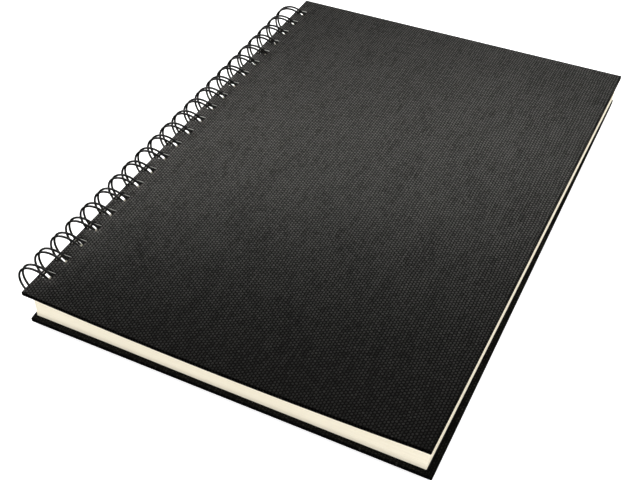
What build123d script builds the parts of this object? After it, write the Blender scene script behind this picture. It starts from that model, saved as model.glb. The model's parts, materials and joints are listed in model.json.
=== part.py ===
from build123d import *
import os
from math import cos, sin, radians, pi

# A4 hard-cover sketchbook with a twin-loop (double wire) binding.
# Frame: +X from the binding to the fore-edge, +Y towards the head, +Z up.
# The origin is under the middle of the closed book, at the lowest point of
# the wire loops.  All lengths are in millimetres.

# ---------------------------------------------------------------- covers
COVER_W = 210.0            # spine edge to fore-edge
COVER_L = 297.0            # tail to head
CLOTH_T = 0.30             # book cloth
BOARD_T = 1.75             # grey board
ENDPAPER_T = 0.15          # pasted endpaper
COVER_T = CLOTH_T + BOARD_T + CLOTH_T + ENDPAPER_T      # 2.5 over the turn-ins
TURN_IN = 15.0             # cloth folded onto the inside of the board
COVER_EDGE_R = 0.40        # rounding of the wrapped edges
ENDPAPER_INSET = 3.0       # head, tail and fore-edge
ENDPAPER_SPINE_INSET = 1.0

# ---------------------------------------------------------------- pages
SHEETS = 50
SHEET_T = 0.30
STACK_T = SHEETS * SHEET_T                               # 15.0
PAGE_INSET = 2.0           # squares at head and tail
PAGE_FORE_INSET = 2.3      # square at the fore-edge
PAGE_L = COVER_L - 2 * PAGE_INSET

# ---------------------------------------------------------------- wire
WIRE_D = 1.2
LOOP_R = 11.5              # centre line of the closed loop
LOOPS = 22
PITCH = 12.7               # two loops to the inch
PAIR_HALF = 1.45           # half the distance between the twin wires
LINK_BEND_R = 1.3          # bend from the loop into the link
LINK_ANGLE = 280.0         # where the loop turns into the link
TIP_ANGLE = -64.0          # where the closed tip of the twin wire starts

LOOP_OUT = LOOP_R + WIRE_D / 2
SPINE_GAP = 2.8            # loop centre to the covers' spine edge
RING_ABOVE_COVER = 2.1     # loops stand this far above the front cover

# ---------------------------------------------------------------- positions
TOTAL_X = LOOP_OUT + SPINE_GAP + COVER_W
RING_X = -TOTAL_X / 2 + LOOP_OUT
RING_Z = LOOP_OUT
COVER_X0 = RING_X + SPINE_GAP
COVER_X1 = COVER_X0 + COVER_W
COVER_CX = (COVER_X0 + COVER_X1) / 2
FRONT_TOP = 2 * LOOP_OUT - RING_ABOVE_COVER
FRONT_IN = FRONT_TOP - COVER_T           # inner face of the front cover
STACK_Z0 = FRONT_IN - STACK_T            # top of the back cover
BACK_IN = STACK_Z0
BACK_BOTTOM = BACK_IN - COVER_T

PAGE_X0 = RING_X + 5.8
PAGE_X1 = COVER_X1 - PAGE_FORE_INSET
PAGE_W = PAGE_X1 - PAGE_X0

# rectangular punching, one hole for each twin loop
HOLE_L = 5.0               # along the spine
COVER_HOLE_X0, COVER_HOLE_X1 = RING_X + 4.0, RING_X + 9.9
PAGE_HOLE_X0, PAGE_HOLE_X1 = RING_X + 7.4, RING_X + 12.4
COVER_HOLE_CX = (COVER_HOLE_X0 + COVER_HOLE_X1) / 2
COVER_HOLE_W = COVER_HOLE_X1 - COVER_HOLE_X0
PAGE_HOLE_CX = (PAGE_HOLE_X0 + PAGE_HOLE_X1) / 2
PAGE_HOLE_W = PAGE_HOLE_X1 - PAGE_HOLE_X0

WINDOW_W = COVER_W - 2 * TURN_IN
WINDOW_L = COVER_L - 2 * TURN_IN
ENDPAPER_X0 = COVER_X0 + ENDPAPER_SPINE_INSET
ENDPAPER_X1 = COVER_X1 - ENDPAPER_INSET
ENDPAPER_W = ENDPAPER_X1 - ENDPAPER_X0
ENDPAPER_CX = (ENDPAPER_X0 + ENDPAPER_X1) / 2
ENDPAPER_L = COVER_L - 2 * ENDPAPER_INSET

os.makedirs("parts", exist_ok=True)

# ================================================================ front cover
# From the inside out: endpaper, cloth turn-in, board, outer cloth.
FC_CLOTH_Z0 = FRONT_IN + ENDPAPER_T
FC_BOARD_Z0 = FC_CLOTH_Z0 + CLOTH_T

# Book cloth: one skin over the outside, round the edges and 15 mm inwards.
with BuildPart() as front_cover_cloth:
    with BuildSketch(Plane.XY.offset(FC_CLOTH_Z0)):
        with Locations((COVER_CX, 0)):
            Rectangle(COVER_W, COVER_L)
    extrude(amount=FRONT_TOP - FC_CLOTH_Z0)
    fillet(front_cover_cloth.edges(), radius=COVER_EDGE_R)
    # the space that the board fills
    with BuildSketch(Plane.XY.offset(FC_BOARD_Z0)):
        with Locations((COVER_CX, 0)):
            Rectangle(COVER_W - 2 * CLOTH_T, COVER_L - 2 * CLOTH_T)
    extrude(amount=BOARD_T, mode=Mode.SUBTRACT)
    # the window between the turn-ins
    with BuildSketch(Plane.XY.offset(FC_CLOTH_Z0)):
        with Locations((COVER_CX, 0)):
            Rectangle(WINDOW_W, WINDOW_L)
    extrude(amount=CLOTH_T, mode=Mode.SUBTRACT)
    # punched row
    with BuildSketch(Plane.XY.offset(FRONT_IN)):
        with Locations((COVER_HOLE_CX, 0)):
            with GridLocations(0, PITCH, 1, LOOPS):
                Rectangle(COVER_HOLE_W, HOLE_L)
    extrude(amount=COVER_T, mode=Mode.SUBTRACT)
front_cover_cloth.part.label = "front_cover_cloth"
export_step(front_cover_cloth.part, "parts/front_cover_cloth.step")

# Grey board: the stiff core.
with BuildPart() as front_cover_board:
    with BuildSketch(Plane.XY.offset(FC_BOARD_Z0)):
        with Locations((COVER_CX, 0)):
            Rectangle(COVER_W - 2 * CLOTH_T, COVER_L - 2 * CLOTH_T)
        with Locations((COVER_HOLE_CX, 0)):
            with GridLocations(0, PITCH, 1, LOOPS):
                Rectangle(COVER_HOLE_W, HOLE_L, mode=Mode.SUBTRACT)
    extrude(amount=BOARD_T)
front_cover_board.part.label = "front_cover_board"
export_step(front_cover_board.part, "parts/front_cover_board.step")

# Endpaper: pasted over the turn-ins and down onto the board between them.
with BuildPart() as front_endpaper:
    with BuildSketch(Plane.XY.offset(FRONT_IN)):
        with Locations((ENDPAPER_CX, 0)):
            Rectangle(ENDPAPER_W, ENDPAPER_L)
        with Locations((COVER_HOLE_CX, 0)):
            with GridLocations(0, PITCH, 1, LOOPS):
                Rectangle(COVER_HOLE_W, HOLE_L, mode=Mode.SUBTRACT)
    extrude(amount=ENDPAPER_T)
    with BuildSketch(Plane.XY.offset(FC_CLOTH_Z0)):
        with Locations((COVER_CX, 0)):
            Rectangle(WINDOW_W, WINDOW_L)
    extrude(amount=CLOTH_T)
front_endpaper.part.label = "front_endpaper"
export_step(front_endpaper.part, "parts/front_endpaper.step")

# ================================================================ back cover
# The same three layers turned over: outer cloth at the bottom.
BC_CLOTH_Z1 = BACK_IN - ENDPAPER_T
BC_BOARD_Z0 = BACK_BOTTOM + CLOTH_T

with BuildPart() as back_cover_cloth:
    with BuildSketch(Plane.XY.offset(BACK_BOTTOM)):
        with Locations((COVER_CX, 0)):
            Rectangle(COVER_W, COVER_L)
    extrude(amount=BC_CLOTH_Z1 - BACK_BOTTOM)
    fillet(back_cover_cloth.edges(), radius=COVER_EDGE_R)
    with BuildSketch(Plane.XY.offset(BC_BOARD_Z0)):
        with Locations((COVER_CX, 0)):
            Rectangle(COVER_W - 2 * CLOTH_T, COVER_L - 2 * CLOTH_T)
    extrude(amount=BOARD_T, mode=Mode.SUBTRACT)
    with BuildSketch(Plane.XY.offset(BC_BOARD_Z0 + BOARD_T)):
        with Locations((COVER_CX, 0)):
            Rectangle(WINDOW_W, WINDOW_L)
    extrude(amount=CLOTH_T, mode=Mode.SUBTRACT)
    with BuildSketch(Plane.XY.offset(BACK_BOTTOM)):
        with Locations((COVER_HOLE_CX, 0)):
            with GridLocations(0, PITCH, 1, LOOPS):
                Rectangle(COVER_HOLE_W, HOLE_L)
    extrude(amount=COVER_T, mode=Mode.SUBTRACT)
back_cover_cloth.part.label = "back_cover_cloth"
export_step(back_cover_cloth.part, "parts/back_cover_cloth.step")

with BuildPart() as back_cover_board:
    with BuildSketch(Plane.XY.offset(BC_BOARD_Z0)):
        with Locations((COVER_CX, 0)):
            Rectangle(COVER_W - 2 * CLOTH_T, COVER_L - 2 * CLOTH_T)
        with Locations((COVER_HOLE_CX, 0)):
            with GridLocations(0, PITCH, 1, LOOPS):
                Rectangle(COVER_HOLE_W, HOLE_L, mode=Mode.SUBTRACT)
    extrude(amount=BOARD_T)
back_cover_board.part.label = "back_cover_board"
export_step(back_cover_board.part, "parts/back_cover_board.step")

with BuildPart() as back_endpaper:
    with BuildSketch(Plane.XY.offset(BC_CLOTH_Z1)):
        with Locations((ENDPAPER_CX, 0)):
            Rectangle(ENDPAPER_W, ENDPAPER_L)
        with Locations((COVER_HOLE_CX, 0)):
            with GridLocations(0, PITCH, 1, LOOPS):
                Rectangle(COVER_HOLE_W, HOLE_L, mode=Mode.SUBTRACT)
    extrude(amount=ENDPAPER_T)
    with BuildSketch(Plane.XY.offset(BC_CLOTH_Z1 - CLOTH_T)):
        with Locations((COVER_CX, 0)):
            Rectangle(WINDOW_W, WINDOW_L)
    extrude(amount=CLOTH_T)
back_endpaper.part.label = "back_endpaper"
export_step(back_endpaper.part, "parts/back_endpaper.step")

# ================================================================ page block
# Fifty loose leaves of heavy drawing paper, counted from the front cover.
for number in range(1, SHEETS + 1):
    sheet_z0 = FRONT_IN - number * SHEET_T
    with BuildPart() as sheet:
        with BuildSketch(Plane.XY.offset(sheet_z0)):
            with Locations(((PAGE_X0 + PAGE_X1) / 2, 0)):
                Rectangle(PAGE_W, PAGE_L)
            with Locations((PAGE_HOLE_CX, 0)):
                with GridLocations(0, PITCH, 1, LOOPS):
                    Rectangle(PAGE_HOLE_W, HOLE_L, mode=Mode.SUBTRACT)
        extrude(amount=SHEET_T)
    sheet.part.label = f"sheet_{number:02d}"
    export_step(sheet.part, f"parts/sheet_{number:02d}.step")

# ================================================================ binding wire
# One period of the wire: half a link, round the loop at y = -1.45, the closed
# tip, back round at y = +1.45, and half a link again.


def on_loop(angle, y, along=0.0):
    """Point on the loop at a polar angle about the loop centre, moved along the
    tangent (towards larger angles) by `along`."""
    a = radians(angle)
    return (
        RING_X + LOOP_R * cos(a) - along * sin(a),
        y,
        RING_Z + LOOP_R * sin(a) + along * cos(a),
    )


BEND_Y = PAIR_HALF + LINK_BEND_R
D45 = LINK_BEND_R * sin(radians(45))
with BuildPart() as wire_loop:
    with BuildLine() as wire_path:
        Line(on_loop(LINK_ANGLE, -PITCH / 2, LINK_BEND_R), on_loop(LINK_ANGLE, -BEND_Y, LINK_BEND_R))
        ThreePointArc(
            on_loop(LINK_ANGLE, -BEND_Y, LINK_BEND_R),
            on_loop(LINK_ANGLE, -BEND_Y + D45, D45),
            on_loop(LINK_ANGLE, -PAIR_HALF),
        )
        ThreePointArc(on_loop(LINK_ANGLE, -PAIR_HALF), on_loop(195, -PAIR_HALF), on_loop(110, -PAIR_HALF))
        ThreePointArc(on_loop(110, -PAIR_HALF), on_loop(25, -PAIR_HALF), on_loop(TIP_ANGLE, -PAIR_HALF))
        ThreePointArc(
            on_loop(TIP_ANGLE, -PAIR_HALF), on_loop(TIP_ANGLE, 0, -PAIR_HALF), on_loop(TIP_ANGLE, PAIR_HALF)
        )
        ThreePointArc(on_loop(TIP_ANGLE, PAIR_HALF), on_loop(25, PAIR_HALF), on_loop(110, PAIR_HALF))
        ThreePointArc(on_loop(110, PAIR_HALF), on_loop(195, PAIR_HALF), on_loop(LINK_ANGLE, PAIR_HALF))
        ThreePointArc(
            on_loop(LINK_ANGLE, PAIR_HALF),
            on_loop(LINK_ANGLE, BEND_Y - D45, D45),
            on_loop(LINK_ANGLE, BEND_Y, LINK_BEND_R),
        )
        Line(on_loop(LINK_ANGLE, BEND_Y, LINK_BEND_R), on_loop(LINK_ANGLE, PITCH / 2, LINK_BEND_R))
    with BuildSketch(Plane(origin=on_loop(LINK_ANGLE, -PITCH / 2, LINK_BEND_R), z_dir=(0, 1, 0))):
        Circle(WIRE_D / 2)
    sweep(path=wire_path.wire())

# The whole wire: the loops meet face to face in the middle of each link.
binding_wire = Compound(
    label="binding_wire",
    children=[wire_loop.part.moved(Location((0, (k - (LOOPS - 1) / 2) * PITCH, 0))) for k in range(LOOPS)],
)
export_step(binding_wire, "parts/binding_wire.step")

print("loop volume", wire_loop.part.volume, "section x length", pi * WIRE_D**2 / 4 * wire_path.wire().length)
print("covers x", COVER_X0, COVER_X1, "pages x", PAGE_X0, PAGE_X1, "ring", RING_X, RING_Z)
print("z: back", BACK_BOTTOM, BACK_IN, "stack", STACK_Z0, FRONT_IN, "front top", FRONT_TOP, "ring top", 2 * LOOP_OUT)
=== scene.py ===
import bpy
import math
import numpy as np
from mathutils import Vector, Matrix, Quaternion
import json

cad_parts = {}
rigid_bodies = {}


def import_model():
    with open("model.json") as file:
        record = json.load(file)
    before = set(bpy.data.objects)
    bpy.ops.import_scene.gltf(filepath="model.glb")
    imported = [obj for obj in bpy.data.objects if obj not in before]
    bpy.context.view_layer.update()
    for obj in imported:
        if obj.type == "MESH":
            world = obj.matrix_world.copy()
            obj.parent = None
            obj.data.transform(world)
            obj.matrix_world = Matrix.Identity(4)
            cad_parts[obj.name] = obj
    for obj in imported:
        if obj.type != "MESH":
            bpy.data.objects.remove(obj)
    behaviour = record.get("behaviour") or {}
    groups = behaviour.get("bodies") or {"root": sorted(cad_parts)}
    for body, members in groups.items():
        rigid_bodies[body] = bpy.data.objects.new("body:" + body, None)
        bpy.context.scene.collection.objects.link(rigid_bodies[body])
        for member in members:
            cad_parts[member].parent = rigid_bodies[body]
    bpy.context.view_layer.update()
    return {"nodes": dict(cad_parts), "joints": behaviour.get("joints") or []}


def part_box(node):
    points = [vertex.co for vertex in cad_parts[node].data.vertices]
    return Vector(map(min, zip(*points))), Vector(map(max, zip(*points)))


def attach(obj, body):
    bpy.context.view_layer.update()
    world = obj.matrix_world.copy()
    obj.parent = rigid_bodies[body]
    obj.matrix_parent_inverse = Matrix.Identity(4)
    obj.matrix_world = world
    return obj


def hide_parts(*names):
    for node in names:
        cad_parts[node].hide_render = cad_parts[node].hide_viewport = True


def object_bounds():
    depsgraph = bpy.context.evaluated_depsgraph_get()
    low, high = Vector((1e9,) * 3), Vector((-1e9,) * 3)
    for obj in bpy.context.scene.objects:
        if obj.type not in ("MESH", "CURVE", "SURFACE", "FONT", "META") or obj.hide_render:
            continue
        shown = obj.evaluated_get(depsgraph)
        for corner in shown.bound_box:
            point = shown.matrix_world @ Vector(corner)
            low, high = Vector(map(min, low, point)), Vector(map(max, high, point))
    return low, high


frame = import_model()

MM = 0.001
rng = np.random.default_rng(41)

# ------------------------------------------------------------------ places
# Everything below is in millimetres in the row frame until it becomes a mesh.
def node_box(name):
    lo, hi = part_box(name)
    return np.array(lo) / MM, np.array(hi) / MM


FC_LO, FC_HI = node_box("front_cover_cloth")
BC_LO, BC_HI = node_box("back_cover_cloth")
WIRE_LO, WIRE_HI = node_box("binding_wire")
hinge = [j for j in frame["joints"] if j["name"] == "front_cover_swing"][0]["pos_m"]
RING_X, RING_Z = hinge[0] / MM, hinge[2] / MM

LOOPS, PITCH = 22, 12.7
LOOP_YS = [(k - (LOOPS - 1) / 2) * PITCH for k in range(LOOPS)]
HOLE_HALF = 2.5
COVER_HOLE = (RING_X + 4.0, RING_X + 9.9)
PAGE_HOLE = (RING_X + 7.4, RING_X + 12.4)
CLOTH_T, BOARD_T, ENDPAPER_T, TURN_IN = 0.30, 1.75, 0.15, 15.0


# ------------------------------------------------------------------ node help
class Mat:
    """A node material with short ways to write maths."""

    def __init__(self, name):
        self.m = bpy.data.materials.new(name)
        self.m.use_nodes = True
        self.t = self.m.node_tree
        self.t.nodes.clear()
        self.out = self.t.nodes.new("ShaderNodeOutputMaterial")
        self.b = self.t.nodes.new("ShaderNodeBsdfPrincipled")
        self.t.links.new(self.b.outputs[0], self.out.inputs[0])

    def put(self, socket, v):
        if hasattr(v, "links") or isinstance(v, bpy.types.NodeSocket):
            self.t.links.new(v, socket)
        else:
            socket.default_value = v

    def math(self, op, a, b=0.0, c=None, clamp=False):
        n = self.t.nodes.new("ShaderNodeMath")
        n.operation = op
        n.use_clamp = clamp
        self.put(n.inputs[0], a)
        self.put(n.inputs[1], b)
        if c is not None:
            self.put(n.inputs[2], c)
        return n.outputs[0]

    def mapr(self, v, a, b, c, d, kind="LINEAR"):
        n = self.t.nodes.new("ShaderNodeMapRange")
        n.interpolation_type = kind
        self.put(n.inputs[0], v)
        for k, x in zip((1, 2, 3, 4), (a, b, c, d)):
            n.inputs[k].default_value = x
        return n.outputs[0]

    def mix(self, fac, a, b):
        n = self.t.nodes.new("ShaderNodeMix")
        n.data_type = "RGBA"
        self.put(n.inputs[0], fac)
        self.put(n.inputs[6], a)
        self.put(n.inputs[7], b)
        return n.outputs[2]

    def obj(self):
        return self.t.nodes.new("ShaderNodeTexCoord").outputs["Object"]

    def uv(self, name):
        n = self.t.nodes.new("ShaderNodeUVMap")
        n.uv_map = name
        return n.outputs[0]

    def split(self, v):
        n = self.t.nodes.new("ShaderNodeSeparateXYZ")
        self.t.links.new(v, n.inputs[0])
        return n.outputs

    def join(self, x, y, z=0.0):
        n = self.t.nodes.new("ShaderNodeCombineXYZ")
        self.put(n.inputs[0], x)
        self.put(n.inputs[1], y)
        self.put(n.inputs[2], z)
        return n.outputs[0]

    def noise(self, vec, scale, detail=3.0, rough=0.5, dist=0.0):
        n = self.t.nodes.new("ShaderNodeTexNoise")
        self.t.links.new(vec, n.inputs["Vector"])
        n.inputs["Scale"].default_value = scale
        n.inputs["Detail"].default_value = detail
        n.inputs["Roughness"].default_value = rough
        n.inputs["Distortion"].default_value = dist
        return n.outputs[0]

    def white(self, vec):
        n = self.t.nodes.new("ShaderNodeTexWhiteNoise")
        n.noise_dimensions = "2D"
        self.t.links.new(vec, n.inputs["Vector"])
        return n.outputs[0]

    def bump(self, height, strength, distance_mm):
        n = self.t.nodes.new("ShaderNodeBump")
        n.inputs["Strength"].default_value = strength
        n.inputs["Distance"].default_value = distance_mm * MM
        self.t.links.new(height, n.inputs["Height"])
        self.t.links.new(n.outputs[0], self.b.inputs["Normal"])

    def set(self, **kw):
        names = {
            "color": "Base Color", "rough": "Roughness", "spec": "Specular IOR Level", "sheen": "Sheen Weight",
            "sheen_rough": "Sheen Roughness", "metal": "Metallic", "coat": "Coat Weight", "coat_rough": "Coat Roughness",
            "ior": "IOR", "sub": "Subsurface Weight", "tint": "Specular Tint",
        }
        for k, v in kw.items():
            self.put(self.b.inputs[names[k]], v)
        return self


# ------------------------------------------------------------------ mesh help
def steps(a, b, longest):
    """Positions from a to b, no further apart than `longest`."""
    n = max(1, int(math.ceil((b - a) / longest)))
    return [a + (b - a) * i / n for i in range(n + 1)]


def lines(stops, longest):
    out = []
    for a, b in zip(stops, stops[1:]):
        out += steps(a, b, longest)[:-1]
    return np.array(out + [stops[-1]])


def cell_solid(xs, ys, zs, filled):
    """The skin of the filled cells of a grid: a closed mesh of quads, each facing outwards."""
    nx, ny, nz = len(xs) - 1, len(ys) - 1, len(zs) - 1
    f = np.zeros((nx + 2, ny + 2, nz + 2), bool)
    f[1:-1, 1:-1, 1:-1] = filled
    index, verts, faces = {}, [], []

    def vert(i, j, k):
        key = (i, j, k)
        if key not in index:
            index[key] = len(verts)
            verts.append((xs[i], ys[j], zs[k]))
        return index[key]

    corner = {
        (1, 0, 0): [(1, 0, 0), (1, 1, 0), (1, 1, 1), (1, 0, 1)],
        (-1, 0, 0): [(0, 0, 0), (0, 0, 1), (0, 1, 1), (0, 1, 0)],
        (0, 1, 0): [(0, 1, 0), (0, 1, 1), (1, 1, 1), (1, 1, 0)],
        (0, -1, 0): [(0, 0, 0), (1, 0, 0), (1, 0, 1), (0, 0, 1)],
        (0, 0, 1): [(0, 0, 1), (1, 0, 1), (1, 1, 1), (0, 1, 1)],
        (0, 0, -1): [(0, 0, 0), (0, 1, 0), (1, 1, 0), (1, 0, 0)],
    }
    for (dx, dy, dz), quad in corner.items():
        beside = np.roll(f, (-dx, -dy, -dz), (0, 1, 2))
        for i, j, k in np.argwhere(f & ~beside):
            faces.append([vert(i - 1 + a, j - 1 + b, k - 1 + c) for a, b, c in quad])
    return np.array(verts), faces


def make(name, verts_mm, faces, smooth=True):
    me = bpy.data.meshes.new(name)
    me.from_pydata([tuple(v) for v in np.asarray(verts_mm) * MM], [], faces)
    me.validate()
    me.update()
    if smooth:
        me.shade_smooth()
    o = bpy.data.objects.new(name, me)
    bpy.context.scene.collection.objects.link(o)
    return o


def coords(me):
    co = np.zeros(len(me.vertices) * 3)
    me.vertices.foreach_get("co", co)
    return co.reshape(-1, 3) / MM


def set_coords(me, co):
    me.vertices.foreach_set("co", (np.asarray(co) * MM).ravel())
    me.update()


def bevelled(o, weight_of, width_mm, segments=3):
    """Rounds the edges of o by a weight for each edge, 1 being width_mm, and keeps the result as its mesh."""
    me = o.data
    co = coords(me)
    att = me.attributes.new("bevel_weight_edge", "FLOAT", "EDGE")
    ev = np.zeros(len(me.edges) * 2, np.int32)
    me.edges.foreach_get("vertices", ev)
    ev = ev.reshape(-1, 2)
    # only edges whose two faces meet at an angle are rounded
    normals, count = {}, {}
    for p in me.polygons:
        for key in p.edge_keys:
            normals.setdefault(key, []).append(p.normal.copy())
    w = np.zeros(len(me.edges))
    for n, (a, b) in enumerate(ev):
        ns = normals[(min(a, b), max(a, b))]
        if len(ns) == 2 and ns[0].dot(ns[1]) < 0.5:
            w[n] = weight_of(co[a], co[b])
    att.data.foreach_set("value", w)
    mod = o.modifiers.new("round", "BEVEL")
    mod.limit_method = "WEIGHT"
    mod.width = width_mm * MM
    mod.segments = segments
    mod.use_clamp_overlap = False
    mod.harden_normals = False
    bpy.context.view_layer.update()
    new = bpy.data.meshes.new_from_object(o.evaluated_get(bpy.context.evaluated_depsgraph_get()))
    old = o.data
    o.modifiers.clear()
    o.data = new
    bpy.data.meshes.remove(old)
    new.name = o.name
    return o


def smooth_by_angle(me, degrees):
    """Smooth shading with sharp edges where two faces meet at more than the angle."""
    me.shade_smooth()
    flat = math.cos(math.radians(degrees))
    normals = {}
    for p in me.polygons:
        for key in p.edge_keys:
            normals.setdefault(key, []).append(p.normal.copy())
    sharp = np.zeros(len(me.edges), bool)
    for e in me.edges:
        ns = normals.get(tuple(sorted(e.vertices)), [])
        sharp[e.index] = len(ns) == 2 and ns[0].dot(ns[1]) < flat
    me.attributes.new("sharp_edge", "BOOLEAN", "EDGE") if "sharp_edge" not in me.attributes else None
    me.attributes["sharp_edge"].data.foreach_set("value", sharp)


def wave(x, y, seed, cell=60.0):
    """A slow, smooth wander between -1 and 1."""
    r = np.random.default_rng(seed)
    out = 0.0
    for n in range(5):
        ax, ay, ph = r.uniform(-1, 1), r.uniform(-1, 1), r.uniform(0, 6.283)
        out = out + np.sin((ax * x + ay * y) * 6.283 / cell + ph)
    return out / 5


def hole_lines(x_lo, x_hi, y_lo, y_hi):
    """Stops along Y that put a line on each hole's two ends."""
    ys = [y_lo]
    for y in LOOP_YS:
        ys += [y - HOLE_HALF, y + HOLE_HALF]
    return ys + [y_hi]


def in_holes(xc, yc, span):
    X, Y = np.meshgrid(xc, yc, indexing="ij")
    hit = np.zeros(X.shape, bool)
    for y in LOOP_YS:
        hit |= (X > span[0]) & (X < span[1]) & (abs(Y - y) < HOLE_HALF)
    return hit


mid = lambda a: (a[1:] + a[:-1]) / 2


def askew(x, y):
    """The back cover isn't cut quite square: its fore-edge runs in by about half a degree from tail to head, and the punched
    edge stays where the wire holds it."""
    out = np.maximum(x - (COVER_HOLE[1] + 1.5), abs(y) - (LOOP_YS[-1] + HOLE_HALF + 1.0))
    f = np.clip(out / 9.5, 0, 1)
    f = f * f * (3 - 2 * f)
    return (0.35 - 0.0106 * (y + 68.0)) * f, 0.0 * f


def sag(x, y):
    """The front cover has warped a little: the middle of its tail edge hangs lower than the corners, and presses on the leaves."""
    across = np.clip(1 - ((x - 8.0) / 100.0) ** 2, 0, 1)
    along = np.clip((2.0 - y) / 150.5, 0, 1) ** 2
    return 2.6 * across * along


# ------------------------------------------------------------------ cover cloth
def cloth(name, node, body, outside_up):
    lo, hi = node_box(node)
    xs = lines(sorted([lo[0], lo[0] + CLOTH_T, COVER_HOLE[0], COVER_HOLE[1], lo[0] + TURN_IN, hi[0] - TURN_IN, hi[0] - CLOTH_T, hi[0]]), 12.0)
    ys = lines(sorted(hole_lines(0, 0, lo[1], hi[1]) + [lo[1] + CLOTH_T, lo[1] + TURN_IN, hi[1] - TURN_IN, hi[1] - CLOTH_T]), 12.0)
    if outside_up:
        zs = np.array([lo[2], lo[2] + CLOTH_T, lo[2] + CLOTH_T + BOARD_T, hi[2]])
        flange, top = 0, 2
    else:
        zs = np.array([lo[2], lo[2] + CLOTH_T, lo[2] + CLOTH_T + BOARD_T, hi[2]])
        flange, top = 2, 0
    xc, yc = mid(xs), mid(ys)
    X, Y = np.meshgrid(xc, yc, indexing="ij")
    filled = np.ones((len(xc), len(yc), 3), bool)
    board = (X > lo[0] + CLOTH_T) & (X < hi[0] - CLOTH_T) & (Y > lo[1] + CLOTH_T) & (Y < hi[1] - CLOTH_T)
    window = (X > lo[0] + TURN_IN) & (X < hi[0] - TURN_IN) & (Y > lo[1] + TURN_IN) & (Y < hi[1] - TURN_IN)
    filled[..., 1] = ~board
    filled[..., flange] = ~window
    filled &= ~in_holes(xc, yc, COVER_HOLE)[..., None]
    verts, faces = cell_solid(xs, ys, zs, filled)
    o = make(name, verts, faces)
    z_out = hi[2] if outside_up else lo[2]
    z_in = lo[2] if outside_up else hi[2]

    def weight(a, b):
        on = lambda v, n, x: abs(v[n] - x) < 1e-4
        outer = any(on(a, n, e) and on(b, n, e) for n in (0, 1) for e in (lo[n], hi[n]))
        if outer:
            return 1.0 if (on(a, 2, z_out) and on(b, 2, z_out)) or not on(a, 2, b[2]) else 0.7
        if on(a, 2, z_out) and on(b, 2, z_out):
            return 0.55  # the cloth is pressed down a little round each punched hole
        return 0.0

    bevelled(o, weight, 0.5, 4)
    me = o.data
    co = coords(me)
    # how far each point lies from the outer face, for a weave that runs on round the edges
    depth = abs(co[:, 2] - z_out)
    near = 0.8
    u = np.where(co[:, 0] > hi[0] - near, co[:, 0] + depth, np.where(co[:, 0] < lo[0] + near, co[:, 0] - depth, co[:, 0]))
    v = np.where(co[:, 1] > hi[1] - near, co[:, 1] + depth, np.where(co[:, 1] < lo[1] + near, co[:, 1] - depth, co[:, 1]))
    layer = me.uv_layers.new(name="weave")
    li = np.zeros(len(me.loops), np.int32)
    me.loops.foreach_get("vertex_index", li)
    layer.data.foreach_set("uv", np.stack([u[li], v[li]], 1).astype(np.float32).ravel())
    # board and glue are never dead flat
    inner = 1 - np.clip(depth / 0.4, 0, 1)
    co[:, 2] += (1 if outside_up else -1) * inner * 0.035 * wave(co[:, 0], co[:, 1], 5 if outside_up else 6)
    if not outside_up:
        dx, dy = askew(co[:, 0], co[:, 1])
        co[:, 0] += dx
        co[:, 1] += dy
    else:
        co[:, 2] -= sag(co[:, 0], co[:, 1])
    set_coords(me, co)
    smooth_by_angle(me, 40)
    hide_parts(node)
    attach(o, body)
    return o


front_cloth = cloth("front_cover_linen", "front_cover_cloth", "front_cover", True)
back_cloth = cloth("back_cover_linen", "back_cover_cloth", "book_back", False)


# ------------------------------------------------------------------ endpapers
def endpaper(name, node, body, inside_down):
    """A thin sheet pasted over the turn-ins; between them it sinks onto the board."""
    lo, hi = node_box(node)
    cl, ch = (FC_LO, FC_HI) if inside_down else (BC_LO, BC_HI)
    wx = (cl[0] + TURN_IN, ch[0] - TURN_IN)
    wy = (cl[1] + TURN_IN, ch[1] - TURN_IN)
    ramp = 0.9
    xs = [lo[0], COVER_HOLE[0], COVER_HOLE[1]]
    ys = hole_lines(0, 0, lo[1], hi[1])
    for w, arr in ((wx, xs), (wy, ys)):
        arr += [w[0] - 0.15, w[0] + ramp * 0.4, w[0] + ramp, w[1] - ramp, w[1] - ramp * 0.4, w[1] + 0.15]
    xs = lines(sorted(xs + [hi[0]]), 12.0)
    ys = lines(sorted(ys), 12.0)
    zs = np.array([0.0, 1.0])
    filled = ~in_holes(mid(xs), mid(ys), COVER_HOLE)[..., None]
    verts, faces = cell_solid(xs, ys, zs, filled)
    smooth = lambda t: np.clip(t, 0, 1) ** 2 * (3 - 2 * np.clip(t, 0, 1))
    ax = np.minimum(verts[:, 0] - wx[0], wx[1] - verts[:, 0]) / ramp
    ay = np.minimum(verts[:, 1] - wy[0], wy[1] - verts[:, 1]) / ramp
    sink = 0.26 * smooth(np.minimum(ax, ay))
    sink += 0.02 * wave(verts[:, 0], verts[:, 1], 9, 35.0) * (sink > 0.2)
    top = verts[:, 2] > 0.5
    if inside_down:
        z = lo[2] + sink + np.where(top, ENDPAPER_T, 0.0) - sag(verts[:, 0], verts[:, 1])
    else:
        z = hi[2] - sink - np.where(top, 0.0, ENDPAPER_T)
    verts[:, 2] = z
    if not inside_down:
        dx, dy = askew(verts[:, 0], verts[:, 1])
        verts[:, 0] += dx
        verts[:, 1] += dy
    o = make(name, verts, faces)
    smooth_by_angle(o.data, 40)
    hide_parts(node)
    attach(o, body)
    return o


front_paper = endpaper("front_endpaper_sheet", "front_endpaper", "front_cover", True)
back_paper = endpaper("back_endpaper_sheet", "back_endpaper", "book_back", False)


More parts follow.
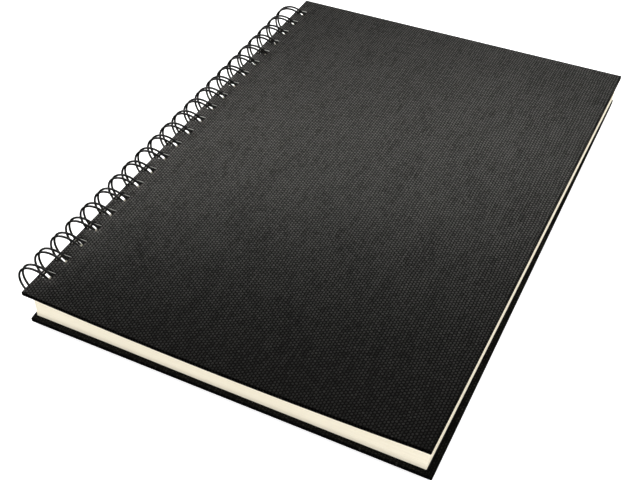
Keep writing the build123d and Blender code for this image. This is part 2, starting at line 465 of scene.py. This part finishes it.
# ------------------------------------------------------------------ boards
def board(name, node, body, turned):
    """The stiff grey core, seen only in the walls of the punched holes."""
    lo, hi = node_box(node)
    xs = lines([lo[0], COVER_HOLE[0], COVER_HOLE[1], hi[0]], 12.0)
    ys = lines(hole_lines(0, 0, lo[1], hi[1]), 12.0)
    zs = np.array([lo[2] + 0.01, (lo[2] + hi[2]) / 2, hi[2] - 0.01])
    filled = np.repeat(~in_holes(mid(xs), mid(ys), COVER_HOLE)[..., None], 2, axis=2)
    verts, faces = cell_solid(xs, ys, zs, filled)
    # the punch drags the board a little: the walls belly out by a few hundredths between their faces
    middle = abs(verts[:, 2] - zs[1]) < 1e-6
    verts[:, 0] += np.where(middle, 0.03 * wave(verts[:, 0], verts[:, 1], 12, 7.0), 0.0)
    verts[:, 1] += np.where(middle, 0.03 * wave(verts[:, 0], verts[:, 1], 13, 7.0), 0.0)
    if turned:
        dx, dy = askew(verts[:, 0], verts[:, 1])
        verts[:, 0] += dx
        verts[:, 1] += dy
    else:
        verts[:, 2] -= sag(verts[:, 0], verts[:, 1])
    o = make(name, verts, faces, smooth=False)
    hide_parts(node)
    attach(o, body)
    return o


front_board = board("front_cover_core", "front_cover_board", "front_cover", False)
back_board = board("back_cover_core", "back_cover_board", "book_back", True)

# ------------------------------------------------------------------ leaves
leaves = []
SHEETS = len([n for n in frame["nodes"] if n.startswith("sheet_")])
for n in range(1, SHEETS + 1):
    node = f"sheet_{n:02d}"
    lo, hi = node_box(node)
    dx, dy = rng.normal(0, 0.06), rng.normal(0, 0.05)
    dx, dy = float(np.clip(dx, -0.18, 0.18)), float(np.clip(dy, -0.13, 0.13))
    xs = lines([lo[0], PAGE_HOLE[0], PAGE_HOLE[1], hi[0]], 13.0)
    ys = lines(hole_lines(0, 0, lo[1], hi[1]), 14.0)
    zs = np.array([lo[2] + (0.07 if n == SHEETS else 0.014), hi[2] - (0.08 if n == 1 else 0.024)])
    filled = ~in_holes(mid(xs), mid(ys), PAGE_HOLE)[..., None]
    verts, faces = cell_solid(xs, ys, zs, filled)
    pressed = sag(verts[:, 0], verts[:, 1]) * (verts[:, 2] - BC_HI[2]) / (FC_LO[2] - BC_HI[2])
    edge = np.clip((verts[:, 0] - (hi[0] - 60)) / 60, 0, 1)
    verts[:, 2] += 0.006 * wave(verts[:, 0], verts[:, 1], 100 + n, 80.0) * edge
    # the block leans: the upper leaves hang a little nearer to the fore-edge, within the play of their holes
    down = (n - 1) / (SHEETS - 1)
    lean, play = 1.2 - 1.0 * down, 0.42 - 0.37 * down
    stops = [lo[0], PAGE_HOLE[0], PAGE_HOLE[1], PAGE_HOLE[1] + 6.0, hi[0]]
    verts[:, 0] += np.interp(verts[:, 0], stops, [lean, play, play, lean, lean - 0.2])
    verts[:, 0] += dx
    verts[:, 1] += dy
    # and it lies a little nearer to the head than to the tail, most of all next to the wire
    nearer = np.interp(verts[:, 0], [-95.0, -55.0, -5.0, 110.0], [0.9, 0.9, 0.55, 0.6])
    verts[:, 1] += nearer * np.interp(verts[:, 1], [lo[1], LOOP_YS[0] - HOLE_HALF, LOOP_YS[-1] + HOLE_HALF, hi[1]], [1.0, 0.0, 0.0, 1.0])
    verts[:, 2] -= pressed
    o = make(f"leaf_sheet_{n:02d}", verts, faces, smooth=False)
    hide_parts(node)
    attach(o, f"leaf_{n:02d}")
    leaves.append(o)

# ------------------------------------------------------------------ binding wire
WIRE_R, LOOP_R = 0.6, 11.5
LINK_ANGLE, TIP_ANGLE, BEND_R, PAIR = 280.0, -64.0, 1.3, 1.45


def wire_points():
    """The middle line of the whole comb: link, round, tip, back round, link, loop after loop."""
    pts = []
    r = np.random.default_rng(7)
    for n, y0 in enumerate(LOOP_YS):
        turn = float(r.normal(0, 0.45))          # each loop sits turned a touch
        shift = float(np.clip(r.normal(0, 0.09), -0.2, 0.2))
        lean = float(np.clip(r.normal(0, 0.10), -0.2, 0.2))
        pair = PAIR + float(r.normal(0, 0.04))

        def on(angle, y, along=0.0):
            a = math.radians(angle)
            at = max(0.0, min(1.0, (280.0 - angle) / 344.0))
            c, s = math.cos(a + math.radians(turn)), math.sin(a + math.radians(turn))
            return (
                RING_X + LOOP_R * c - along * s,
                y0 + y + shift + lean * math.sin(math.pi * at),
                RING_Z + LOOP_R * s + along * c,
            )

        bend_y = pair + BEND_R
        first, last = n == 0, n == LOOPS - 1
        # link in
        start = -bend_y - (2.0 if first else PITCH / 2 - bend_y - 0.35)
        for t in np.linspace(0, 1, 5):
            pts.append(on(LINK_ANGLE, start + (-bend_y - start) * t, BEND_R))
        for t in np.linspace(0, math.pi / 2, 8)[1:]:
            pts.append(on(LINK_ANGLE, -bend_y + BEND_R * math.sin(t), BEND_R * math.cos(t)))
        for a in np.linspace(LINK_ANGLE, TIP_ANGLE, 87)[1:]:
            pts.append(on(a, -pair))
        for t in np.linspace(0, math.pi, 17)[1:]:
            pts.append(on(TIP_ANGLE, -pair * math.cos(t), -pair * math.sin(t)))
        for a in np.linspace(TIP_ANGLE, LINK_ANGLE, 87)[1:]:
            pts.append(on(a, pair))
        for t in np.linspace(math.pi / 2, 0, 8)[1:]:
            pts.append(on(LINK_ANGLE, bend_y - BEND_R * math.sin(t), BEND_R * math.cos(t)))
        end = bend_y + (2.0 if last else PITCH / 2 - bend_y - 0.35)
        for t in np.linspace(0, 1, 5)[1:]:
            pts.append(on(LINK_ANGLE, bend_y + (end - bend_y) * t, BEND_R))
    return np.array(pts)


def tube(name, pts, radius, sides):
    """A round tube along pts, with frames carried along so that it never twists, and snipped, slightly rounded ends."""
    pts = np.asarray(pts)
    tan = np.gradient(pts, axis=0)
    tan /= np.linalg.norm(tan, axis=1)[:, None]
    n = np.cross(tan[0], (0, 0, 1.0))
    n /= np.linalg.norm(n)
    ns = [n]
    for k in range(1, len(pts)):
        v = ns[-1] - np.dot(ns[-1], tan[k]) * tan[k]
        ns.append(v / np.linalg.norm(v))
    ns = np.array(ns)
    bs = np.cross(tan, ns)
    rings, scale = [], []
    for off, s in ((0.0, 0.62), (0.10, 0.9), (0.22, 1.0)):
        rings.append((pts[0] + tan[0] * off, ns[0], bs[0], s))
    for k in range(1, len(pts) - 1):
        rings.append((pts[k], ns[k], bs[k], 1.0))
    for off, s in ((0.22, 1.0), (0.10, 0.9), (0.0, 0.62)):
        rings.append((pts[-1] - tan[-1] * off, ns[-1], bs[-1], s))
    verts, faces = [], []
    ang = np.arange(sides) * 2 * math.pi / sides
    for p, a, b, s in rings:
        for t in ang:
            verts.append(p + radius * s * (math.cos(t) * a + math.sin(t) * b))
    for k in range(len(rings) - 1):
        for j in range(sides):
            i = (j + 1) % sides
            faces.append([k * sides + j, k * sides + i, (k + 1) * sides + i, (k + 1) * sides + j])
    for base, flip in ((0, True), ((len(rings) - 1) * sides, False)):
        c = len(verts)
        verts.append(np.mean(verts[base : base + sides], axis=0))
        for j in range(sides):
            i = (j + 1) % sides
            faces.append([base + i, base + j, c] if flip else [base + j, base + i, c])
    return make(name, verts, faces)


wire = tube("twin_loop_wire", wire_points(), WIRE_R, 14)
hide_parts("binding_wire")
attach(wire, "book_back")

# ------------------------------------------------------------------ materials
WARP, WEFT = 1.45, 0.847   # from thread to thread, mm


# Book cloth: a filled, pressed canvas on a near-black ground. The warp runs from tail to head.
def book_cloth():
    k = Mat("black_book_cloth_weave")
    uv = k.uv("weave")
    s = k.split(uv)
    # the threads wander a little, so no line of the weave is ruler straight
    wob_u = k.mapr(k.noise(uv, 0.06, 3.0, 0.6), 0.3, 0.7, -0.28, 0.28)
    shifted = k.join(k.math("ADD", s[0], 40.0), k.math("ADD", s[1], 90.0))
    wob_v = k.mapr(k.noise(shifted, 0.06, 3.0, 0.6), 0.3, 0.7, -0.35, 0.35)
    u = k.math("ADD", k.math("MULTIPLY", s[0], 1 / WARP), wob_u)   # thread numbers
    v = k.math("ADD", k.math("MULTIPLY", s[1], 1 / WEFT), wob_v)
    su = k.math("SINE", k.math("MULTIPLY", u, math.pi))
    sv = k.math("SINE", k.math("MULTIPLY", v, math.pi))
    cross = k.math("MULTIPLY", su, sv)                             # + where the warp is on top
    warp = k.math("ADD", k.math("MULTIPLY", k.math("ABSOLUTE", su), 0.60), k.math("MULTIPLY", cross, 0.38))
    weft = k.math("SUBTRACT", k.math("MULTIPLY", k.math("ABSOLUTE", sv), 0.13), k.math("MULTIPLY", cross, 0.13))
    up = k.math("MAXIMUM", k.math("MAXIMUM", warp, weft), 0.0)
    # every thread, and every crossing, has its own thickness and shade
    iu, iv = k.math("FLOOR", u), k.math("FLOOR", v)
    warp_shade = k.white(k.join(iu, k.math("FLOOR", k.math("MULTIPLY", s[1], 0.07))))
    weft_shade = k.white(k.join(k.math("FLOOR", k.math("MULTIPLY", s[0], 0.08)), iv))
    knot = k.white(k.join(iu, iv))
    on_top = k.math("GREATER_THAN", warp, weft)
    shade = k.math("ADD", k.math("MULTIPLY", on_top, warp_shade), k.math("MULTIPLY", k.math("SUBTRACT", 1.0, on_top), weft_shade))
    grain = k.noise(uv, 1.5, 2.0, 0.65)                            # slubs and filler
    fibre = k.noise(uv, 5.0, 3.0, 0.7)
    # the press has flattened the crowns, and left the filler deep between them
    flat = k.mapr(up, 0.14, 0.66, 0.0, 1.0, "SMOOTHSTEP")
    height = k.math("MULTIPLY", flat, k.mapr(shade, 0, 1, 0.7, 1.0))
    height = k.math("ADD", height, k.math("MULTIPLY", up, 0.3))
    height = k.math("ADD", height, k.math("MULTIPLY", grain, 0.32))
    height = k.math("ADD", height, k.math("MULTIPLY", fibre, 0.10))
    blotch = k.noise(uv, 0.03, 3.0, 0.55)
    worn = k.math("ADD", k.math("MULTIPLY", shade, 0.30), k.math("MULTIPLY", knot, 0.70))
    # colour: dark in the gaps, greyer on the crowns, with a tone of its own for each thread and slub; the dark gaps are
    # painted shade, the greyer crowns painted highlight, and a few pale specks on the crowns are painted glints
    tone = k.math("MULTIPLY", flat, k.mapr(worn, 0.15, 0.85, 0.38, 1.28))
    tone = k.math("MULTIPLY", tone, k.mapr(grain, 0.3, 0.7, 0.48, 1.52))
    tone = k.math("MULTIPLY", tone, k.mapr(blotch, 0.3, 0.7, 0.92, 1.08))
    # painted shade: on the edges and the inner face of the back cover, low under the leaves, the tone is cut to 0.30
    z = k.split(k.obj())[2]
    back_edge_painted_shade = k.math("MULTIPLY", k.math("LESS_THAN", z, float(BC_HI[2] + 0.5) * MM), k.math("GREATER_THAN", z, float(BC_LO[2] + 0.7) * MM))
    tone = k.math("MULTIPLY", tone, k.mapr(back_edge_painted_shade, 0.0, 1.0, 1.0, 0.30))
    tone = k.math("MINIMUM", tone, 1.0)
    # painted shade in the gaps and painted highlight on the crowns, carried by the tone
    col = k.mix(tone, (0.0010, 0.0010, 0.0009, 1), (0.0020, 0.0020, 0.0018, 1))
    # pale specks on a few crowns: painted glints
    painted_glint_specks = k.mapr(knot, 0.94, 1.0, 0.0, 0.8)
    col = k.mix(k.math("MULTIPLY", painted_glint_specks, flat), col, (0.016, 0.0158, 0.015, 1))
    # only the pressed crowns shine; the filler between them is dull, and the specular tint dimmed there with the tone
    # is also painted shade of the gaps and of the back cover's edges
    crown_shine_gap_shade = k.mix(tone, (0.20, 0.20, 0.19, 1), (0.92, 0.906, 0.874, 1))
    k.set(color=col, rough=k.mapr(tone, 0.10, 0.45, 0.85, 0.278), spec=0.5, tint=crown_shine_gap_shade)
    k.bump(height, 1.0, 0.015)
    return k.m


def grey_board():
    """Grey board coloured near-black as painted shade for the walls of the punched holes; a fine pale band runs along
    the half millimetre of each hole wall next to the outer cloth.
    """
    k = Mat("grey_board_raw")
    o = k.obj()
    s = k.split(o)
    layered = k.join(k.math("MULTIPLY", s[0], 300.0), k.math("MULTIPLY", s[1], 300.0), k.math("MULTIPLY", s[2], 3800.0))
    n1 = k.noise(layered, 1.0, 4.0, 0.65)
    n2 = k.noise(o, 2600.0, 3.0, 0.6)
    # painted shade: the board is coloured near-black so that the hole walls read as shaded
    col = k.mix(k.mapr(n1, 0.3, 0.7, 0, 1), (0.020, 0.0195, 0.018, 1), (0.045, 0.044, 0.041, 1))
    col = k.mix(k.mapr(n2, 0.55, 0.8, 0, 0.5), col, (0.09, 0.088, 0.083, 1))
    front = k.math("GREATER_THAN", s[2], float(FC_HI[2] - CLOTH_T - 0.5) * MM)
    back = k.math("LESS_THAN", s[2], float(BC_LO[2] + CLOTH_T + 0.5) * MM)
    pale = k.mix(k.mapr(n2, 0.3, 0.7, 0, 1), (0.78, 0.77, 0.74, 1), (0.90, 0.89, 0.86, 1))
    col = k.mix(k.math("MAXIMUM", front, back), col, pale)
    k.set(color=col, rough=0.92, spec=0.2)
    k.bump(k.math("ADD", n1, n2), 0.6, 0.08)
    return k.m


def end_paper():
    k = Mat("black_endpaper_laid")
    o = k.obj()
    s = k.split(o)
    n = k.noise(o, 900.0, 5.0, 0.65)
    long = k.join(k.math("MULTIPLY", s[0], 700.0), k.math("MULTIPLY", s[1], 140.0), 0.0)
    fib = k.noise(long, 1.0, 3.0, 0.7)
    col = k.mix(k.mapr(n, 0.25, 0.75, 0, 1), (0.010, 0.010, 0.0098, 1), (0.019, 0.0185, 0.018, 1))
    col = k.mix(k.mapr(fib, 0.62, 0.75, 0, 0.35), col, (0.045, 0.044, 0.042, 1))
    k.set(color=col, rough=0.82, spec=0.25)
    k.bump(k.math("ADD", n, fib), 0.35, 0.05)
    return k.m


def drawing_paper():
    k = Mat("cream_drawing_paper")
    o = k.obj()
    s = k.split(o)
    tooth = k.noise(o, 1500.0, 4.0, 0.6)
    cloud = k.noise(o, 60.0, 3.0, 0.5)
    # along the cut edges each leaf has its own shade, so the block shows fine lines
    leaf = k.white(k.join(k.math("FLOOR", k.math("MULTIPLY", k.math("ADD", s[2], -0.0044 + 0.00001), 1 / 0.0003)), 3.0))
    run = k.noise(k.join(k.math("MULTIPLY", s[0], 25.0), k.math("MULTIPLY", s[1], 25.0), k.math("MULTIPLY", s[2], 3300.0)), 1.0, 3.0, 0.6)
    t = k.math("ADD", k.math("MULTIPLY", leaf, 0.5), k.math("MULTIPLY", run, 0.5))
    col = k.mix(k.mapr(t, 0.2, 0.8, 0, 1), (0.838, 0.778, 0.628, 1), (0.868, 0.811, 0.665, 1))
    fibre = k.noise(o, 420.0, 5.0, 0.75)
    col = k.mix(k.mapr(fibre, 0.6, 0.8, 0, 0.12), col, (0.62, 0.55, 0.42, 1))
    col = k.mix(k.mapr(cloud, 0.3, 0.7, 0.0, 0.06), col, (0.95, 0.92, 0.83, 1))
    k.set(color=col, rough=0.88, spec=0.25)
    k.bump(tooth, 0.25, 0.05)
    return k.m


def black_wire():
    k = Mat("black_nylon_coated_wire")
    o = k.obj()
    n = k.noise(o, 1400.0, 3.0, 0.6)
    w = k.noise(o, 240.0, 4.0, 0.7)
    col = k.mix(k.mapr(w, 0.35, 0.7, 0, 1), (0.0055, 0.0055, 0.0055, 1), (0.012, 0.012, 0.0118, 1))
    k.set(color=col, rough=k.mapr(n, 0.3, 0.7, 0.26, 0.42), spec=0.5, coat=0.25, coat_rough=0.18)
    k.bump(n, 0.15, 0.03)
    return k.m


M_CLOTH, M_BOARD, M_END, M_PAPER, M_WIRE = book_cloth(), grey_board(), end_paper(), drawing_paper(), black_wire()


def dress(o, m):
    o.data.materials.clear()
    o.data.materials.append(m)


for o in (front_cloth, back_cloth):
    dress(o, M_CLOTH)
for o in (front_paper, back_paper):
    dress(o, M_END)
for o in leaves:
    dress(o, M_PAPER)
dress(wire, M_WIRE)
for o in (front_board, back_board):
    dress(o, M_BOARD)

# ------------------------------------------------------------------ studio
bpy.context.view_layer.update()
low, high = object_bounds()
floor_me = bpy.data.meshes.new("studio_floor")
S = 6.0
floor_me.from_pydata([(-S, -S, 0), (S, -S, 0), (S, S, 0), (-S, S, 0)], [], [(0, 1, 2, 3)])
floor = bpy.data.objects.new("studio_floor", floor_me)
bpy.context.scene.collection.objects.link(floor)
k = Mat("studio_paper")
k.set(color=(0.90, 0.90, 0.90, 1), rough=0.9, spec=0.0)
# The same pale sheet everywhere, which glows a little so that it stays white all round.
k.b.inputs["Emission Color"].default_value = (1, 1, 1, 1)
k.b.inputs["Emission Strength"].default_value = 0.66
# seen from below, the floor is a sheet of glass that isn't there, so the underside of the book shows
clear = k.t.nodes.new("ShaderNodeBsdfTransparent")
side = k.t.nodes.new("ShaderNodeNewGeometry")
blend = k.t.nodes.new("ShaderNodeMixShader")
k.t.links.new(side.outputs["Backfacing"], blend.inputs[0])
k.t.links.new(k.b.outputs[0], blend.inputs[1])
k.t.links.new(clear.outputs[0], blend.inputs[2])
k.t.links.new(blend.outputs[0], k.out.inputs[0])
dress(floor, k.m)
floor.location.z = -0.0004
floor.visible_glossy = False

# An even white tent all round, and one large soft box low behind the head end that the covers and the wire mirror.
world = bpy.data.worlds.new("studio")
bpy.context.scene.world = world
world.use_nodes = True
world.node_tree.nodes["Background"].inputs[0].default_value = (1.0, 1.0, 1.0, 1)
world.node_tree.nodes["Background"].inputs[1].default_value = 1.0
world.cycles_visibility.glossy = False


def area(name, at, target, size, power, colour=(1, 1, 1), size_y=None, roll=0.0):
    d = bpy.data.lights.new(name, "AREA")
    d.energy = power
    d.color = colour
    d.size = size
    if size_y:
        d.shape = "RECTANGLE"
        d.size_y = size_y
    o = bpy.data.objects.new(name, d)
    bpy.context.scene.collection.objects.link(o)
    o.location = at
    aim = (Vector(target) - Vector(at)).to_track_quat("-Z", "Y")
    o.rotation_euler = (aim @ Quaternion((0, 0, 1), math.radians(roll))).to_euler()
    return o


def at(azimuth, elevation, distance):
    """A place seen from the book; azimuth 0 is the head end (+Y) and grows towards the fore-edge (+X)."""
    a, e = math.radians(azimuth), math.radians(elevation)
    return (distance * math.sin(a) * math.cos(e), distance * math.cos(a) * math.cos(e), distance * math.sin(e))


area("back_softbox", at(-30.5, 38.9, 2.0), (0, 0, 0), 1.75, 12.9, (1.0, 0.975, 0.94), size_y=0.33, roll=-2)
area("front_softbox", at(162, 22, 2.4), (0, 0, 0), 1.3, 1.5)
area("right_softbox", at(96, 20, 2.2), (0, 0, 0), 1.0, 1.5)
# these two only give gloss: along the left of each loop, and on the cover for whoever looks straight down
for rim in (area("left_strip", at(-98, 26, 2.0), (0, 0, 0), 1.6, 8.0, size_y=0.5), area("top_strip", (0.05, -0.1, 2.2), (0, 0, 0), 0.7, 3.0)):
    rim.visible_diffuse = False
for o in bpy.context.scene.objects:
    if o.type == "LIGHT":
        o.visible_camera = False

# ------------------------------------------------------------------ camera
F_PX = 1034.3
cam_data = bpy.data.cameras.new("camera")
cam_data.sensor_fit = "HORIZONTAL"
cam_data.sensor_width = 36.0
cam_data.lens = F_PX / 640 * 36
cam_data.clip_start = 0.01
cam_data.clip_end = 30
cam = bpy.data.objects.new("camera", cam_data)
bpy.context.scene.collection.objects.link(cam)
cover_mid = Vector(((FC_LO[0] + FC_HI[0]) / 2, (FC_LO[1] + FC_HI[1]) / 2, FC_HI[2])) * MM
fwd = Vector((-0.34107, 0.64613, -0.68278)).normalized()
right = Vector((0.89342, 0.44871, -0.02168))
right = (right - right.dot(fwd) * fwd).normalized()
up = right.cross(fwd)
pos = cover_mid + Vector((0.18274, -0.38727, 0.35098))
cam.matrix_world = Matrix(((right.x, up.x, -fwd.x, pos.x), (right.y, up.y, -fwd.y, pos.y), (right.z, up.z, -fwd.z, pos.z), (0, 0, 0, 1)))
bpy.context.scene.camera = cam
bpy.context.scene.view_settings.view_transform = "Standard"
